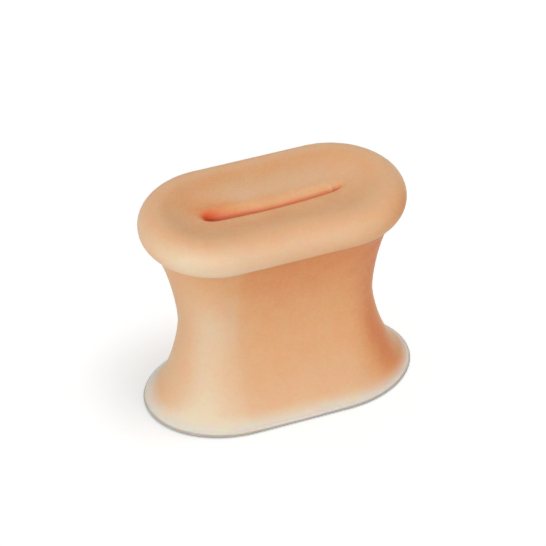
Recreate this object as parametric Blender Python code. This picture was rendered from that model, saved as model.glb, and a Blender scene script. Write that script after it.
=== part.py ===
# Toe separator: one soft gel casting, shaped like a spool that is pressed flat.
# Two neighbouring toes lie in the hollows at the front and the back of the waist. The rolled
# flange above and the thin flared base below keep them there. A slot runs from the dished top
# to the flat underside and lets the two walls of the waist give: it is nearly closed along its
# length, bowed a little to the front, and opens into a rounded mouth at its -X end.
# Frame: +X along the flange, +Y across it, +Z up. The origin is the centre of the underside.

import math
from collections import namedtuple

import bmesh
import bpy

MM = 0.001

# Sizes in millimetres

OVERALL_HEIGHT = 24.1

FLANGE_LENGTH = 28.0
FLANGE_WIDTH = 15.8
BEAD_RADIUS = 1.95          # the round roll that edges the flange
CREASE_ANGLE = 50.0         # degrees below level, where the flare runs into the roll
DISH_DEPTH = 0.8            # the lip of the slot lies this far below the top of the roll

WAIST_LENGTH = 21.0
WAIST_WIDTH = 8.1
WAIST_HEIGHT = 10.3         # height of the narrowest place above the underside
UPPER_FLARE_POWER = 1.53    # 1 is a straight cone, 2 is an elliptical hollow
LOWER_FLARE_POWER = 1.52

BASE_LENGTH = 29.35
BASE_WIDTH = 15.7
BASE_STRAIGHT = 10.3        # straight stretch of each long side of the base
RIM_THICKNESS = 0.5         # thin edge of the base, rounded over

SLOT_LENGTH = 14.4
SLOT_WIDTH = 0.3            # where its walls have closed up
SLOT_MOUTH = 0.9            # how much wider than that it is at its -X end
SLOT_MOUTH_POWER = 4        # how suddenly it widens there
SLOT_END_REACH = 0.5        # length of each rounded end
SLOT_BOW = 0.65             # how far its middle lies in front of its ends
TOP_LIP_RADIUS = 1.1        # the dish rolls over this far into the slot
BOTTOM_LIP_RADIUS = 0.3

# How finely the surface is divided

END_STEPS = 24              # around each rounded end of a ring
SIDE_STEPS = 10             # along each straight side of a ring
RIM_STEPS = 4
LOWER_FLARE_STEPS = 12
UPPER_FLARE_STEPS = 12
BEAD_STEPS = 12
DISH_STEPS = 6
LIP_STEPS = 5
WALL_STEPS = 3

GEL_COLOUR = (0.76, 0.43, 0.24, 1.0)
GEL_ROUGHNESS = 0.42

# A level ring of the casting: a stadium that may widen towards -X by mouth on each side, and
# whose middle may be bowed to the front. reach is how far each rounded end stands past the
# straight sides.
Ring = namedtuple("Ring", "straight reach half_width mouth bow z")


def stadium(length, width, z, straight=None):
    """A ring of this length and width, with round ends unless the straight sides are given."""
    half_straight = (length - width) / 2 if straight is None else straight / 2
    return Ring(half_straight, length / 2 - half_straight, width / 2, 0.0, 0.0, z)


def grown(ring, offset, z):
    """The same ring moved outwards by offset, all the way round, and set at height z."""
    return ring._replace(reach=ring.reach + offset, half_width=ring.half_width + offset, z=z)


def blended(first, second, share, z):
    """The ring that lies this share of the way from the first plan to the second."""
    mixed = [a + (b - a) * share for a, b in zip(first, second)]
    return Ring(*mixed)._replace(z=z)


def lower_flare(base, waist):
    """Rings from the thin rim up to the waist: level at the rim, upright at the waist."""
    for step in range(1, LOWER_FLARE_STEPS + 1):
        angle = math.pi / 2 * step / LOWER_FLARE_STEPS
        share = math.sin(angle) ** (2 / LOWER_FLARE_POWER)
        climb = 1 - math.cos(angle) ** (2 / LOWER_FLARE_POWER)
        yield blended(base, waist, share, base.z + (waist.z - base.z) * climb)


def upper_flare(waist, neck):
    """Rings from the waist up to the roll: upright at the waist, nearly level at the roll."""
    for step in range(1, UPPER_FLARE_STEPS + 1):
        angle = math.pi / 2 * step / UPPER_FLARE_STEPS
        share = 1 - math.cos(angle) ** (2 / UPPER_FLARE_POWER)
        climb = math.sin(angle) ** (2 / UPPER_FLARE_POWER)
        yield blended(waist, neck, share, waist.z + (neck.z - waist.z) * climb)


def rounding(core, radius, centre_z, start, stop, steps):
    """Rings round an arc whose centre line is the core ring, between two angles in degrees."""
    for step in range(steps + 1):
        angle = math.radians(start + (stop - start) * step / steps)
        yield grown(core, radius * math.cos(angle), centre_z + radius * math.sin(angle))


def dish(bead_top, lip):
    """Rings from the top of the roll down to the lip of the slot, level at both ends."""
    for step in range(1, DISH_STEPS):
        travel = step / DISH_STEPS
        fall = travel * travel * (3 - 2 * travel)
        yield blended(bead_top, lip, travel, bead_top.z + (lip.z - bead_top.z) * fall)


def casting_rings():
    """Every ring in order: rim, flares, roll, dish, then down the slot to the underside."""
    rim_radius = RIM_THICKNESS / 2
    bead_z = OVERALL_HEIGHT - BEAD_RADIUS
    dish_z = OVERALL_HEIGHT - DISH_DEPTH

    base_edge = stadium(BASE_LENGTH, BASE_WIDTH, rim_radius, BASE_STRAIGHT)
    rim_core = grown(base_edge, -rim_radius, rim_radius)
    waist = stadium(WAIST_LENGTH, WAIST_WIDTH, WAIST_HEIGHT)
    bead_core = grown(stadium(FLANGE_LENGTH, FLANGE_WIDTH, bead_z), -BEAD_RADIUS, bead_z)
    slot = stadium(SLOT_LENGTH, SLOT_WIDTH, dish_z, SLOT_LENGTH - 2 * SLOT_END_REACH)
    slot = slot._replace(mouth=SLOT_MOUTH / 2, bow=SLOT_BOW)

    rim = list(rounding(rim_core, rim_radius, rim_radius, -90, 90, RIM_STEPS))
    bead = list(rounding(bead_core, BEAD_RADIUS, bead_z, -CREASE_ANGLE, 90, BEAD_STEPS))
    top_lip = list(rounding(grown(slot, TOP_LIP_RADIUS, dish_z), TOP_LIP_RADIUS,
                            dish_z - TOP_LIP_RADIUS, 90, 180, LIP_STEPS))
    bottom_lip = list(rounding(grown(slot, BOTTOM_LIP_RADIUS, 0.0), BOTTOM_LIP_RADIUS,
                               BOTTOM_LIP_RADIUS, 180, 270, LIP_STEPS))

    rings = rim
    rings += lower_flare(rim[-1], waist)
    rings += list(upper_flare(waist, bead[0]))[:-1]
    rings += bead
    rings += dish(bead[-1], top_lip[0])
    rings += top_lip
    for step in range(1, WALL_STEPS):
        level = top_lip[-1].z + (bottom_lip[0].z - top_lip[-1].z) * step / WALL_STEPS
        rings.append(slot._replace(z=level))
    rings += bottom_lip
    return rings


def ring_points(ring):
    """The ring's points, anticlockwise from above: +X end, back side, -X end, front side."""
    outline = []
    for end in (1, -1):
        for step in range(END_STEPS + 1):
            angle = math.pi * (step / END_STEPS - 0.5)
            outline.append((end * (ring.straight + ring.reach * math.cos(angle)),
                            end * math.sin(angle)))
        for step in range(1, SIDE_STEPS):
            outline.append((end * ring.straight * (1 - 2 * step / SIDE_STEPS), end))
    points = []
    for x, side in outline:
        along = x / (ring.straight + ring.reach)
        widening = ring.mouth * ((1 - along) / 2) ** SLOT_MOUTH_POWER
        y = side * (ring.half_width + widening) - ring.bow * (1 - along ** 2)
        points.append((x, y, ring.z))
    return points


def lofted_mesh(name, rings):
    """A closed skin over the rings, the last of which joins the first."""
    mesh = bpy.data.meshes.new(name)
    bm = bmesh.new()
    loops = [[bm.verts.new([value * MM for value in point]) for point in ring_points(ring)]
             for ring in rings]
    count = len(loops[0])
    for lower, upper in zip(loops, loops[1:] + loops[:1]):
        for here in range(count):
            following = (here + 1) % count
            bm.faces.new((lower[here], lower[following], upper[following], upper[here]))
    bm.to_mesh(mesh)
    bm.free()
    mesh.shade_smooth()
    mesh.set_sharp_from_angle(angle=math.radians(50))
    return mesh


def gel_material():
    """Soft flesh-coloured gel with a waxy surface."""
    material = bpy.data.materials.new("peach_gel")
    material.use_nodes = True
    shader = material.node_tree.nodes["Principled BSDF"]
    shader.inputs["Base Color"].default_value = GEL_COLOUR
    shader.inputs["Roughness"].default_value = GEL_ROUGHNESS
    shader.inputs["Metallic"].default_value = 0.0
    material.diffuse_color = GEL_COLOUR
    return material


def build():
    for old in list(bpy.data.objects):
        bpy.data.objects.remove(old)
    mesh = lofted_mesh("toe_separator", casting_rings())
    mesh.materials.append(gel_material())
    casting = bpy.data.objects.new("toe_separator", mesh)
    bpy.context.scene.collection.objects.link(casting)


build()
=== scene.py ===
import math

import bpy
import numpy as np
from mathutils import Matrix, Vector


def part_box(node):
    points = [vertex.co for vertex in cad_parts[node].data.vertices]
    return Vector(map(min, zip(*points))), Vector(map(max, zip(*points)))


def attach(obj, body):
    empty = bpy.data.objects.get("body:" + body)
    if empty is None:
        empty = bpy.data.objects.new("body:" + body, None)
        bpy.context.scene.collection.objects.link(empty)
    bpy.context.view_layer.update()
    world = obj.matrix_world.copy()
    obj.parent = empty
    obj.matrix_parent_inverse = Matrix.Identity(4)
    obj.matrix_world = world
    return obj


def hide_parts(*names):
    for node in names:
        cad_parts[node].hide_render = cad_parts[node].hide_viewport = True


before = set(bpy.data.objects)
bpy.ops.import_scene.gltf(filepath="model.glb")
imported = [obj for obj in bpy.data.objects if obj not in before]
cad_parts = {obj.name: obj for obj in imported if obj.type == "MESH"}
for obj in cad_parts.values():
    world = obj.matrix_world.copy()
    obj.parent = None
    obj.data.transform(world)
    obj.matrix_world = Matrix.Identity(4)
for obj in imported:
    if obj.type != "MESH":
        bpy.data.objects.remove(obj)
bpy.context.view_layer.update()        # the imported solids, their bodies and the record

# Toe separator: one soft gel casting, standing on its thin flared base on a white floor.
# +X runs along the flange, +Y across it to the back, +Z up. Lengths in the dictionaries are
# millimetres unless a note says otherwise, and mm turns them into metres.

mm = 0.001
nodeName = "toe_separator"

cameraView = {
    "turn": -19.2,                   # degrees from straight in front, minus is to the left
    "rise": 38.5,                    # degrees above level
    "roll": -1.75,                   # degrees, the picture leans a little
    "distance": 262.0,
    "target": (0.0, 0.0, 9.8),
    "targetPixel": (275.7, 304.3),   # where the target stands in the picture
    "pictureSide": 546,              # pixels
    "focalPixels": 2520.0,
    "sensor": 36.0,
    "nearest": 10.0,                 # the camera draws what lies between these two distances
    "farthest": 20000.0,
}


def direction(turn, rise):
    # the way towards a place that lies turn degrees round from the front and rise degrees up
    turn = math.radians(turn)
    rise = math.radians(rise)
    level = math.cos(rise)
    return Vector((math.sin(turn) * level, -math.cos(turn) * level, math.sin(rise)))


def makeCamera(view):
    # a level camera's axes are leaned by the roll, then aimed so that the target lands on its pixel
    turn = math.radians(view["turn"])
    roll = math.radians(view["roll"])
    back = direction(view["turn"], view["rise"])
    right = Vector((math.cos(turn), math.sin(turn), 0.0))
    up = back.cross(right)
    leanRight = right * math.cos(roll) + up * math.sin(roll)
    leanUp = up * math.cos(roll) - right * math.sin(roll)
    target = Vector(view["target"]) * mm
    eye = target + back * view["distance"] * mm
    perPixel = view["distance"] * mm / view["focalPixels"]
    acrossPixels = view["targetPixel"][0] - view["pictureSide"] / 2
    downPixels = view["targetPixel"][1] - view["pictureSide"] / 2
    aim = target - leanRight * acrossPixels * perPixel + leanUp * downPixels * perPixel
    aimedBack = (eye - aim).normalized()
    aimedRight = leanUp.cross(aimedBack).normalized()
    aimedUp = aimedBack.cross(aimedRight)
    data = bpy.data.cameras.new("photoCamera")
    data.sensor_width = view["sensor"]
    data.lens = view["focalPixels"] / view["pictureSide"] * view["sensor"]
    data.clip_start = view["nearest"] * mm
    data.clip_end = view["farthest"] * mm
    camera = bpy.data.objects.new("photoCamera", data)
    axes = Matrix((aimedRight, aimedUp, aimedBack)).transposed().to_4x4()
    camera.matrix_world = Matrix.Translation(eye) @ axes
    bpy.context.scene.collection.objects.link(camera)
    bpy.context.scene.camera = camera


makeCamera(cameraView)
print("camera placed")


class Value:
    # one output socket, so that masks and sums read as plain arithmetic

    def __init__(self, tree, socket):
        self.tree = tree
        self.socket = socket

    def maths(self, operation, first, second):
        return addNode(self.tree, "ShaderNodeMath", {"operation": operation}, {0: first, 1: second})

    def __add__(self, other):
        return self.maths("ADD", self, other)

    def __radd__(self, other):
        return self.maths("ADD", other, self)

    def __sub__(self, other):
        return self.maths("SUBTRACT", self, other)

    def __rsub__(self, other):
        return self.maths("SUBTRACT", other, self)

    def __mul__(self, other):
        return self.maths("MULTIPLY", self, other)

    def __rmul__(self, other):
        return self.maths("MULTIPLY", other, self)

    def orMore(self, other):
        return self.maths("MAXIMUM", self, other)


def addNode(tree, kind, settings=None, inputs=None, output=0):
    # settings come first, because some of them change which sockets there are
    node = tree.nodes.new(kind)
    for key, value in (settings or {}).items():
        if key == "stops":
            ramp = node.color_ramp
            while len(ramp.elements) < len(value):
                ramp.elements.new(0.5)
            for element, (place, colour) in zip(ramp.elements, value):
                element.position = place
                element.color = colour
        else:
            setattr(node, key, value)
    for key, value in (inputs or {}).items():
        if isinstance(value, Value):
            tree.links.new(value.socket, node.inputs[key])
        else:
            node.inputs[key].default_value = value
    return None if output is None else Value(tree, node.outputs[output])


def newTree(owner):
    # an empty node tree for a material or a world
    owner.use_nodes = True
    owner.node_tree.nodes.clear()
    return owner.node_tree


def mixColour(tree, share, first, second):
    # a Mix node's colour inputs are sockets 6 and 7, and its colour output is number 2
    return addNode(tree, "ShaderNodeMix", {"data_type": "RGBA"}, {0: share, 6: first, 7: second}, 2)


def attribute(tree, name):
    # output 2 of an Attribute node is its plain number
    return addNode(tree, "ShaderNodeAttribute", {"attribute_name": name}, None, 2)


def screenColour(red, green, blue):
    # a colour as it is read on a screen, 0 to 255, turned into the linear light that shaders use
    share = np.array([red, green, blue]) / 255.0
    linear = np.where(share <= 0.04045, share / 12.92, ((share + 0.055) / 1.055) ** 2.4)
    return (*linear.tolist(), 1.0)


lowest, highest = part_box(nodeName)

# The sizes are the solid's own. Only the fold is new here, and slotEndReach, 0.5 in the solid, is
# longer, because the soft lips give the slot rounder ends
casting = {
    "height": highest[2] / mm,
    "flangeLength": 28.0,
    "flangeWidth": (highest[1] - lowest[1]) / mm,
    "beadRadius": 1.95,
    "creaseAngle": 50.0,             # degrees below level, where the flare runs into the roll
    "dishDepth": 0.8,
    "waistLength": 21.0,
    "waistWidth": 8.1,
    "waistHeight": 10.3,
    "upperFlarePower": 1.53,
    "lowerFlarePower": 1.52,
    "baseLength": (highest[0] - lowest[0]) / mm,
    "baseWidth": 15.7,
    "baseStraight": 10.3,
    "rimThickness": 0.5,
    "slotLength": 14.4,
    "slotWidth": 0.3,
    "slotMouth": 0.9,                # how much wider the slot is at its -X end
    "slotMouthPower": 4,             # how suddenly it widens there
    "slotEndReach": 1.3,             # length of each rounded end of the slot
    "slotBow": 0.65,                 # how far its middle lies in front of its ends
    "topLipRadius": 1.1,
    "bottomLipRadius": 0.3,
    "foldPlace": 6.3,                # a small fold in the far lip of the slot, near its +X end
    "foldWidth": 0.3,
    "foldDepth": 0.3,
    "blendAngle": 60.0,              # from this angle on the roll's tone runs over into the dish's
    "blendTravel": 0.2,              # and the last of it ends at this travel across the dish
    "endSteps": 96,                  # around each rounded end
    "sideSteps": 60,                 # along each straight side
    "rimSteps": 12,                  # the other steps count rings, part by part
    "flareSteps": 60,
    "rollSteps": 48,
    "dishSteps": 32,
    "topLipSteps": 20,
    "wallSteps": 24,
    "bottomLipSteps": 8,
    "undersideSteps": 4,
}

# what each ring of the skin holds, column by column. First its plan and height
straightColumn, reachColumn, widthColumn, mouthColumn, bowColumn, heightColumn = range(6)
# then where it lies on its part: its angle round the rim or the roll, its travel across the dish,
# and its share of the way in from the rim to the waist
angleColumn, travelColumn, acrossColumn = range(6, 9)
# then how far it belongs to each part; for the lip this is the share of the way down it
sideColumn, rollColumn, dishColumn, edgeColumn, lipColumn, slotColumn = range(9, 15)
# the names of the columns after the plan and the height
placeNames = ("angle", "travel", "across", "side", "roll", "dish", "edge", "lip", "slot")
ringColumns = 15


def ease(low, high, values):
    # 0 up to low, 1 from high on, and an even S between, also where low is the larger of the two
    share = np.clip((values - low) / (high - low), 0, 1)
    return share * share * (3 - 2 * share)


def stadium(length, width, height, part, straight=None):
    # a level ring with round ends, whose straight sides, unless given, are length less width
    halfStraight = (length - width) / 2 if straight is None else straight / 2
    ring = np.zeros(ringColumns)
    ring[straightColumn] = halfStraight
    ring[reachColumn] = length / 2 - halfStraight
    ring[widthColumn] = width / 2
    ring[heightColumn] = height
    ring[acrossColumn] = 1.0
    ring[part] = 1.0
    return ring


def rounding(core, radius, middle, start, stop, steps):
    # rings round an arc: moved out by radius * cos(angle), at height middle + radius * sin(angle)
    angle = np.radians(np.linspace(start, stop, steps + 1))
    rows = np.tile(core, (steps + 1, 1))
    rows[:, reachColumn] += radius * np.cos(angle)
    rows[:, widthColumn] += radius * np.cos(angle)
    rows[:, heightColumn] = middle + radius * np.sin(angle)
    rows[:, angleColumn] = np.degrees(angle)
    return rows


def between(first, second, across, climb):
    # rings between two others: first + (second - first) * share, where the shares in across move
    # the plan and those in climb move the height
    rows = first + (second - first) * across[:, None]
    rise = second[heightColumn] - first[heightColumn]
    rows[:, heightColumn] = first[heightColumn] + rise * climb
    return rows


def castingRings(size):
    # every ring in order: rim, lower flare, upper flare, roll, dish, slot and underside
    rimRadius = size["rimThickness"] / 2
    beadRadius = size["beadRadius"]
    beadZ = size["height"] - beadRadius
    dishZ = size["height"] - size["dishDepth"]
    lipRadius = size["topLipRadius"]
    footRadius = size["bottomLipRadius"]

    base = stadium(size["baseLength"], size["baseWidth"], 0.0, sideColumn, size["baseStraight"])
    waist = stadium(size["waistLength"], size["waistWidth"], size["waistHeight"], sideColumn)
    flange = stadium(size["flangeLength"], size["flangeWidth"], beadZ, rollColumn)
    slotStraight = size["slotLength"] - 2 * size["slotEndReach"]
    slot = stadium(size["slotLength"], size["slotWidth"], dishZ, dishColumn, slotStraight)
    slot[mouthColumn] = size["slotMouth"] / 2
    slot[bowColumn] = size["slotBow"]
    slot[travelColumn] = 1.0

    rimCore = rounding(base, rimRadius, 0.0, 180, 180, 0)[0]
    beadCore = rounding(flange, beadRadius, beadZ, 180, 180, 0)[0]
    lipCore = rounding(slot, lipRadius, dishZ, 0, 0, 0)[0]
    footCore = rounding(slot, footRadius, 0.0, 0, 0, 0)[0]
    rimCore[acrossColumn] = 0.0
    rim = rounding(rimCore, rimRadius, rimRadius, -90, 90, size["rimSteps"])
    rim[:, edgeColumn] = 1.0
    roll = rounding(beadCore, beadRadius, beadZ, -size["creaseAngle"], 90, size["rollSteps"])
    topLip = rounding(lipCore, lipRadius, dishZ - lipRadius, 90, 180, size["topLipSteps"])
    topLip[:, lipColumn] = np.linspace(0, 1, len(topLip))
    topLip[:, angleColumn] = 90.0
    bottomLip = rounding(footCore, footRadius, footRadius, 180, 270, size["bottomLipSteps"])
    bottomLip[:, slotColumn] = 1.0

    # both flares are quarters of a superellipse, which leave the waist upright: one share is
    # sin(angle) ** (2 / power), the other 1 - cos(angle) ** (2 / power)
    angle = np.linspace(0, math.pi / 2, size["flareSteps"] + 1)
    power = 2 / size["lowerFlarePower"]
    lowerFlare = between(rim[-1], waist, np.sin(angle) ** power, 1 - np.cos(angle) ** power)[1:]
    lowerFlare[:, edgeColumn] = 0.0
    neck = roll[0].copy()
    neck[[sideColumn, rollColumn]] = 1.0, 0.0
    power = 2 / size["upperFlarePower"]
    upperFlare = between(waist, neck, 1 - np.cos(angle) ** power, np.sin(angle) ** power)[1:-1]

    # the dish falls in an even S from the top of the roll to the lip of the slot
    travel = np.linspace(0, 1, size["dishSteps"] + 1)
    dish = between(roll[-1], topLip[0], travel, ease(0, 1, travel))[1:-1]
    roll[:, rollColumn] -= 0.5 * ease(size["blendAngle"], 90, roll[:, angleColumn])
    roll[:, dishColumn] = 1 - roll[:, rollColumn]
    dish[:, rollColumn] = 0.5 * ease(size["blendTravel"], 0, dish[:, travelColumn])
    dish[:, dishColumn] = 1 - dish[:, rollColumn]
    travel = np.linspace(0, 1, size["wallSteps"] + 1)
    wall = between(topLip[-1], bottomLip[0], travel, travel)[1:-1]
    wall[:, slotColumn] = 1.0
    travel = np.linspace(0, 1, size["undersideSteps"] + 1)
    underside = between(bottomLip[-1], rim[0], travel, travel)[1:-1]
    return np.vstack((rim, lowerFlare, upperFlare, roll, dish, topLip, wall, bottomLip, underside))


def ringShares(endSteps, sideSteps):
    # once round, anticlockwise from above: shares of the straight side, the reach and the half width,
    # which are 1, cos(angle) and sin(angle) round an end and run from 1 to -1, 0 and 1 along a side
    angle = np.linspace(-math.pi / 2, math.pi / 2, endSteps + 1)
    along = np.linspace(1, -1, sideSteps + 1)[1:-1]
    straightShare = np.concatenate((np.ones(endSteps + 1), along))
    reachShare = np.concatenate((np.cos(angle), np.zeros(sideSteps - 1)))
    widthShare = np.concatenate((np.sin(angle), np.ones(sideSteps - 1)))
    return [np.concatenate((half, -half)) for half in (straightShare, reachShare, widthShare)]


def castingGrid(size):
    # with along as x over the half length: x = straight * share + reach * share, and
    # y = share * (half width + mouth * ((1 - along) / 2) ** power) - bow * (1 - along ** 2).
    # The fold moves the far lip forward by depth * exp(-((x - place) / width) ** 2), times
    # 4 * lip * (1 - lip), which is 1 halfway down the lip. The bearing is 0 at the front
    columns = [column[:, None] for column in castingRings(size).T]
    straight, reach, halfWidth, mouth, bow, height, *places = columns
    straightShare, reachShare, widthShare = ringShares(size["endSteps"], size["sideSteps"])
    x = straight * straightShare + reach * reachShare
    along = x / (straight + reach)
    widening = mouth * ((1 - along) / 2) ** size["slotMouthPower"]
    y = widthShare * (halfWidth + widening) - bow * (1 - along ** 2)
    z = height + 0 * x
    bearing = np.degrees(np.arctan2(along, -widthShare))
    places = {name: place + 0 * x for name, place in zip(placeNames, places)}
    fold = np.exp(-((x - size["foldPlace"]) / size["foldWidth"]) ** 2)
    fold = fold * 4 * places["lip"] * (1 - places["lip"])
    y = y - size["foldDepth"] * fold * (abs(bearing) > 90)
    return x, y, z, bearing, places


def meshFromGrid(name, x, y, z):
    # a grid that closes on itself both ways, as one skin with its faces outwards
    rows, columns = x.shape
    number = np.arange(rows * columns).reshape(rows, columns)
    following = np.roll(number, -1, axis=1)
    above = np.roll(number, -1, axis=0)
    aboveFollowing = np.roll(above, -1, axis=1)
    corners = np.stack((number, following, aboveFollowing, above), axis=2).reshape(-1)
    places = np.stack((x, y, z), axis=2).reshape(-1) * mm
    mesh = bpy.data.meshes.new(name)
    mesh.vertices.add(rows * columns)
    mesh.vertices.foreach_set("co", places.astype(np.float32))
    mesh.loops.add(len(corners))
    mesh.loops.foreach_set("vertex_index", corners.astype(np.int32))
    mesh.polygons.add(len(corners) // 4)
    mesh.polygons.foreach_set("loop_start", np.arange(0, len(corners), 4, dtype=np.int32))
    mesh.update(calc_edges=True)
    mesh.shade_smooth()
    return mesh


def storeMask(mesh, name, values):
    # one number for each vertex, which the material reads by this name
    layer = mesh.attributes.new(name, "FLOAT", "POINT")
    layer.data.foreach_set("value", values.reshape(-1).astype(np.float32))


# The tone runs from deepestTone, a deep orange that stands for painted shade, through 0.5, the gel's
# own colour, to palestTone, a pale that stands for painted light. Each part starts from its plain
# tone, to which its hills add; the hills are painted light and shade, paler where the lamps fall and
# deeper where shade falls. A hill is its strength, its bearing in degrees round from the front (minus
# is to the left), its spread in degrees, then the middle and the spread of its level, which is a
# height on the side, an angle round the roll, or travel from 0 to 1 across the dish. Shades are hills
# of the same form that darken the colour as painted shade, and the rim's hills have no level.
gelLookAndPaintedLight = {
    # deepest stands for painted shade and palest for painted light; body is the gel's own colour
    "deepest": (229, 117, 40),       # screen colours, 0 to 255
    "body": (241, 184, 132),
    "palest": (244, 225, 196),
    "deepestTone": -0.1,
    "palestTone": 1.3,
    "maskColours": {                 # laid over the tone by their masks, in this order
        # shade is painted shade: black laid over to darken the colour
        "shade": (0, 0, 0),
        # slot is painted shade inside the slot, red as light comes through the gel
        "slot": (250, 157, 120),
        # mouth is painted shade at the slot's open end, deep red as light comes through the gel
        "mouth": (232, 104, 52),
        # rim is the paler thin gel at the base, together with painted light from the floor shining
        # through it
        "rim": (255, 235, 227),
        "edge": (188, 185, 178),     # a thin grey line of painted contact shadow along the very edge of the base
    },
    # the side's hills are painted light and shade: paler at its lit front-left and low down, deeper
    # under the flange and towards its right end
    "sideTone": 0.65,
    "sideHills": [(0.30, -45, 15, 4, 13), (-0.50, 23, 118, 22.5, 10), (-0.26, 47, 12, 7, 15),
                  (-0.42, 62, 19, 4, 8), (0.16, -38, 14, 12, 3.8),
                  (0.5, 0, 150, 0.5, 0.9), (0.25, -50, 24, 1, 2.5), (-0.3, 90, 45, 0.8, 0.8),
                  (0.13, 5, 45, 2.6, 2.4), (0.07, -90, 35, 8, 12)],
    # the roll's hills are painted light and shade: paler where the lamp falls on its front and left,
    # deeper on its right
    "rollTone": 0.63,
    "rollHills": [(0.45, -46, 22, -12, 64), (-0.48, 54, 20, 14, 41), (0.32, -18, 22, -44, 27),
                  (0.25, -8, 120, 23, 35), (0.08, -100, 40, 25, 40)],
    # the dish's hills are mostly painted shade on slopes that face away from the lamp, with a little
    # painted light at the back left
    "dishTone": 0.79,
    "dishHills": [(-0.25, 173, 77, 0.23, 0.3), (-0.35, -136, 39, 1.1, 0.6),
                  (0.2, -162, 12, 0.8, 0.34), (-0.36, -7, 120, 0.77, 1.0),
                  (-0.1, 180, 80, 1.0, 0.1)],
    # the shades are painted shade, on the side's left under the flange and low at its right end, on
    # the roll's right and the dish's back left
    "sideShades": [(0.12, -100, 40, 15, 9), (0.08, 92, 25, 2, 5)],
    "rollShades": [(0.08, 65, 25, -5, 30)],
    "dishShades": [(0.08, -120, 75, 0.4, 0.45)],
    "paintedLightBand": 0.15,                    # painted light: how much paler the front of the side's left end is, where the lamp falls
    "bandStart": -5.0,               # from here to here along X
    "bandFull": -6.2,
    "bandLeft": -100.0,              # and from here to here in bearing
    "bandRight": -40.0,
    "rimFade": 0.36,                 # how far up the lower flare the thin rim's pale edge reaches: thin gel, with painted light from the floor through it
    "rimFadePower": 1.9,
    "rimHills": [(0.08, -50, 28), (-0.14, 95, 60), (0.1, -108, 24)],
    "edgeStart": -90.0,              # the grey line of painted contact shadow starts and is full at these angles up the rim
    "edgeFull": -60.0,
    "edgeTop": 55.0,                 # and ends at this one along the sides
    "edgeTopAtEnds": 97.0,
    "edgeFade": 45.0,                # over so many degrees
    "lipStart": 0.55,                # where on the rounded lip the slot's red, painted shade, begins
    "lipFull": 0.85,
    "climbStart": 0.1,               # at both ends of the slot it climbs the lip to here
    "climbFull": 0.7,
    "mouthStart": -5.2,              # the mouth's deep red, painted shade, runs along X from here to the open end
    "mouthFull": -7.2,
    "mouthBearing": -130.0,          # most of all on this bearing
    "mouthSpread": 60.0,
    "mouthInside": 0.55,             # how much of the mouth's colour its walls keep below the lip
    "hollowStart": 6.7,              # and painted red shade from here to the closed end, where the lip dips a little
    "hollowFull": 7.7,
    # how strong that painted red shade at the closed end is
    "hollowGlow": 0.5,
    "cloud": 0.18,                   # how far the slow mottling moves the tone
    "speckle": 0.2,
    "cloudSize": 2.0,
    "speckleSize": 0.35,
    "grainSize": 0.22,
    "grainDepth": 0.05,
    "grainStrength": 0.7,
    "roughness": 0.5,
    "shine": 0.25,                   # specular level, where 0.5 is plain plastic
    "gelReach": 1.0,                 # how far light travels in the gel
    "reachShares": (1.0, 0.36, 0.16),    # shares of it for red, green and blue light
}


def noise(tree, place, size, detail):
    # soft noise about a half, whose blotches are about this many millimetres across
    inputs = {"Vector": place, "Scale": 1 / (size * mm), "Detail": detail}
    return addNode(tree, "ShaderNodeTexNoise", None, inputs)


def gelMaterial(lookAndPaintedLight):
    material = bpy.data.materials.new("peachGel")
    tree = newTree(material)
    place = addNode(tree, "ShaderNodeTexCoord", None, None, 3)
    cloud = noise(tree, place, lookAndPaintedLight["cloudSize"], 2.0)
    speckle = noise(tree, place, lookAndPaintedLight["speckleSize"], 1.0)
    grain = noise(tree, place, lookAndPaintedLight["grainSize"], 2.0)
    tone = attribute(tree, "tone") + (cloud - 0.5) * lookAndPaintedLight["cloud"]
    tone = tone + (speckle - 0.5) * lookAndPaintedLight["speckle"]
    toneRange = lookAndPaintedLight["palestTone"] - lookAndPaintedLight["deepestTone"]
    # the deepest colour stands for painted shade and the palest for painted light
    stops = [(0.0, screenColour(*lookAndPaintedLight["deepest"])),
             ((0.5 - lookAndPaintedLight["deepestTone"]) / toneRange, screenColour(*lookAndPaintedLight["body"])),
             (1.0, screenColour(*lookAndPaintedLight["palest"]))]
    share = (tone - lookAndPaintedLight["deepestTone"]) * (1 / toneRange)
    colour = addNode(tree, "ShaderNodeValToRGB", {"stops": stops}, {"Fac": share})
    # laid over in turn: painted shade, the slot's and the mouth's painted red shade, the rim with
    # painted light through it, and the edge's painted contact shadow
    for name, laidOver in lookAndPaintedLight["maskColours"].items():
        colour = mixColour(tree, attribute(tree, name), colour, screenColour(*laidOver))
    surface = addNode(tree, "ShaderNodeBump", None, {
        "Strength": lookAndPaintedLight["grainStrength"], "Distance": lookAndPaintedLight["grainDepth"] * mm, "Height": grain})
    shader = addNode(tree, "ShaderNodeBsdfPrincipled", {"subsurface_method": "RANDOM_WALK"}, {
        "Base Color": colour, "Roughness": lookAndPaintedLight["roughness"], "Specular IOR Level": lookAndPaintedLight["shine"],
        "Subsurface Weight": 1.0, "Subsurface Radius": lookAndPaintedLight["reachShares"],
        "Subsurface Scale": lookAndPaintedLight["gelReach"] * mm, "Normal": surface})
    addNode(tree, "ShaderNodeOutputMaterial", None, {"Surface": shader}, None)
    return material


def bearingHill(bearing, middle, spread):
    # 1 at the middle bearing, falling off as exp of minus (difference / spread) squared
    difference = (bearing - middle + 180) % 360 - 180
    return np.exp(-(difference / spread) ** 2)


def partTone(plain, hills, bearing, level):
    # the plain tone and its hills, each its strength times its bearing hill times
    # exp of minus (difference in level / spread) squared
    tone = plain + 0 * bearing
    for strength, middle, spread, height, heightSpread in hills:
        fall = np.exp(-((level - height) / heightSpread) ** 2)
        tone = tone + strength * bearingHill(bearing, middle, spread) * fall
    return tone


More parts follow.
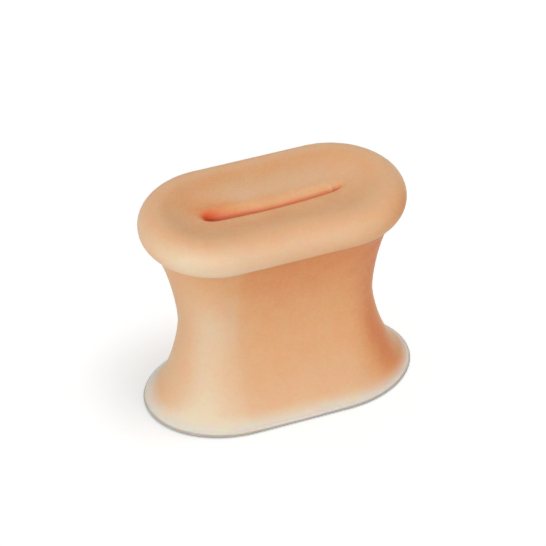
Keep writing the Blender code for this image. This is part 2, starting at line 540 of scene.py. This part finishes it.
def castingMasks(lookAndPaintedLight, x, z, bearing, places):
    # the tone, with its painted light and shade, and the five masks, each a number from 0 to 1 or so
    # at every point of the skin
    angle, travel, across, side, roll, dish, edge, lip, slot = places.values()
    tone = side * partTone(lookAndPaintedLight["sideTone"], lookAndPaintedLight["sideHills"], bearing, z)
    tone = tone + roll * partTone(lookAndPaintedLight["rollTone"], lookAndPaintedLight["rollHills"], bearing, angle)
    tone = tone + dish * partTone(lookAndPaintedLight["dishTone"], lookAndPaintedLight["dishHills"], bearing, travel)
    # painted light, paler on the front of the side's left end where the lamp falls
    front = ease(lookAndPaintedLight["bandLeft"], lookAndPaintedLight["bandRight"], bearing) * (bearing < 0)
    left = ease(lookAndPaintedLight["bandStart"], lookAndPaintedLight["bandFull"], x)
    tone = tone + side * lookAndPaintedLight["paintedLightBand"] * front * left

    # painted shade, darker where the hills lie
    shade = side * partTone(0, lookAndPaintedLight["sideShades"], bearing, z)
    shade = shade + roll * partTone(0, lookAndPaintedLight["rollShades"], bearing, angle)
    shade = shade + dish * partTone(0, lookAndPaintedLight["dishShades"], bearing, travel)

    # the rim's paleness, thin gel with painted light from the floor through it, fades as (1 - share
    # of the way in / reach) ** power
    reach = lookAndPaintedLight["rimFade"] + 0 * bearing
    for strength, middle, spread in lookAndPaintedLight["rimHills"]:
        reach = reach + strength * bearingHill(bearing, middle, spread)
    rim = np.clip(1 - across / reach, 0, 1) ** lookAndPaintedLight["rimFadePower"]
    # the edge's grey line is painted contact shadow
    towardsEnds = abs(np.sin(np.radians(bearing)))
    edgeTop = lookAndPaintedLight["edgeTop"] + (lookAndPaintedLight["edgeTopAtEnds"] - lookAndPaintedLight["edgeTop"]) * towardsEnds
    edge = edge * ease(lookAndPaintedLight["edgeStart"], lookAndPaintedLight["edgeFull"], angle)
    edge = edge * ease(edgeTop, edgeTop - lookAndPaintedLight["edgeFade"], angle)

    # the slot's red, the mouth's deep red and the closed end's red are painted shade, reddened as by
    # light through the gel
    climb = ease(lookAndPaintedLight["climbStart"], lookAndPaintedLight["climbFull"], lip)
    mouth = climb * ease(lookAndPaintedLight["mouthStart"], lookAndPaintedLight["mouthFull"], x)
    mouth = mouth * bearingHill(bearing, lookAndPaintedLight["mouthBearing"], lookAndPaintedLight["mouthSpread"])
    mouth = mouth * (1 - slot * (1 - lookAndPaintedLight["mouthInside"]))
    paintedEndShade = climb * ease(lookAndPaintedLight["hollowStart"], lookAndPaintedLight["hollowFull"], x) * lookAndPaintedLight["hollowGlow"]
    paintedSlotShade = ease(lookAndPaintedLight["lipStart"], lookAndPaintedLight["lipFull"], lip)
    slot = np.maximum(np.maximum(slot, paintedEndShade), paintedSlotShade)
    return {"tone": tone, "shade": shade, "slot": slot, "mouth": mouth, "rim": rim, "edge": edge}


def makeCasting(size, lookAndPaintedLight):
    x, y, z, bearing, places = castingGrid(size)
    mesh = meshFromGrid("gelCasting", x, y, z)
    for name, values in castingMasks(lookAndPaintedLight, x, z, bearing, places).items():
        storeMask(mesh, name, values)
    mesh.materials.append(gelMaterial(lookAndPaintedLight))
    piece = bpy.data.objects.new("gelCasting", mesh)
    bpy.context.scene.collection.objects.link(piece)
    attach(piece, "root")
    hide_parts(nodeName)
    return piece


gelCasting = makeCasting(casting, gelLookAndPaintedLight)
print("gel casting made")

studio = {
    "floorSize": 1600.0,
    "floorGrey": 0.88,
    "floorGlow": 0.4,                # light that the floor adds where it is seen directly
    "floorGlowColour": (0.94, 0.98, 1.0, 1.0),
    "worldStrength": 0.512,
    "aimHeight": 12.0,               # the lamps look at this height above the floor
    "lampDistance": 350.0,           # from so far away
}

# power in watts, turn and rise in degrees from the front and from level
lamps = {
    "keyLamp": {"power": 0.408, "turn": -45.0, "rise": 28.0, "side": 140.0, "lights": "casting"},
    "fillLamp": {"power": 0.158, "turn": 55.0, "rise": 50.0, "side": 140.0, "lights": "casting"},
    "floorLamp": {"power": 0.32, "turn": 48.0, "rise": 79.0, "side": 120.0, "lights": "floor"},
}


def seenDirectly(tree):
    # 1 for the camera and for what glossy and clear surfaces show
    rays = [addNode(tree, "ShaderNodeLightPath", None, None, name)
            for name in ("Is Camera Ray", "Is Glossy Ray", "Is Transmission Ray")]
    return rays[0].orMore(rays[1]).orMore(rays[2])


def makeFloor(values):
    half = values["floorSize"] / 2 * mm
    mesh = bpy.data.meshes.new("studioFloor")
    corners = [(-half, -half, 0.0), (half, -half, 0.0), (half, half, 0.0), (-half, half, 0.0)]
    mesh.from_pydata(corners, [], [(0, 1, 2, 3)])
    material = bpy.data.materials.new("studioFloor")
    tree = newTree(material)
    grey = values["floorGrey"]
    diffuse = addNode(tree, "ShaderNodeBsdfDiffuse", None, {"Color": (grey, grey, grey, 1.0)})
    glow = addNode(tree, "ShaderNodeEmission", None, {
        "Color": values["floorGlowColour"], "Strength": seenDirectly(tree) * values["floorGlow"]})
    both = addNode(tree, "ShaderNodeAddShader", None, {0: diffuse, 1: glow})
    addNode(tree, "ShaderNodeOutputMaterial", None, {"Surface": both}, None)
    mesh.materials.append(material)
    floor = bpy.data.objects.new("studioFloor", mesh)
    bpy.context.scene.collection.objects.link(floor)
    return floor


def makeWorld(values):
    # white where it is seen directly, a plain dim light for everything else
    world = bpy.data.worlds.new("studioWorld")
    tree = newTree(world)
    direct = seenDirectly(tree)
    strength = direct + (1 - direct) * values["worldStrength"]
    white = (1.0, 1.0, 1.0, 1.0)
    sky = addNode(tree, "ShaderNodeBackground", None, {"Color": white, "Strength": strength})
    addNode(tree, "ShaderNodeOutputWorld", None, {"Surface": sky}, None)
    bpy.context.scene.world = world


def makeLamp(name, lamp, values, receivers):
    # a square soft box that looks at the middle of the object and lights only one thing
    towards = direction(lamp["turn"], lamp["rise"])
    data = bpy.data.lights.new(name, "AREA")
    data.shape = "SQUARE"
    data.size = lamp["side"] * mm
    data.energy = lamp["power"]
    holder = bpy.data.objects.new(name, data)
    aim = Vector((0.0, 0.0, values["aimHeight"] * mm))
    holder.location = towards * values["lampDistance"] * mm + aim
    holder.rotation_euler = towards.to_track_quat("Z", "Y").to_euler()
    bpy.context.scene.collection.objects.link(holder)
    holder.light_linking.receiver_collection = bpy.data.collections.new(name + "Lights")
    holder.light_linking.receiver_collection.objects.link(receivers[lamp["lights"]])


makeWorld(studio)
receivers = {"casting": gelCasting, "floor": makeFloor(studio)}
for lampName, lamp in lamps.items():
    makeLamp(lampName, lamp, studio, receivers)
bpy.context.scene.view_settings.view_transform = "Standard"
print("studio ready")
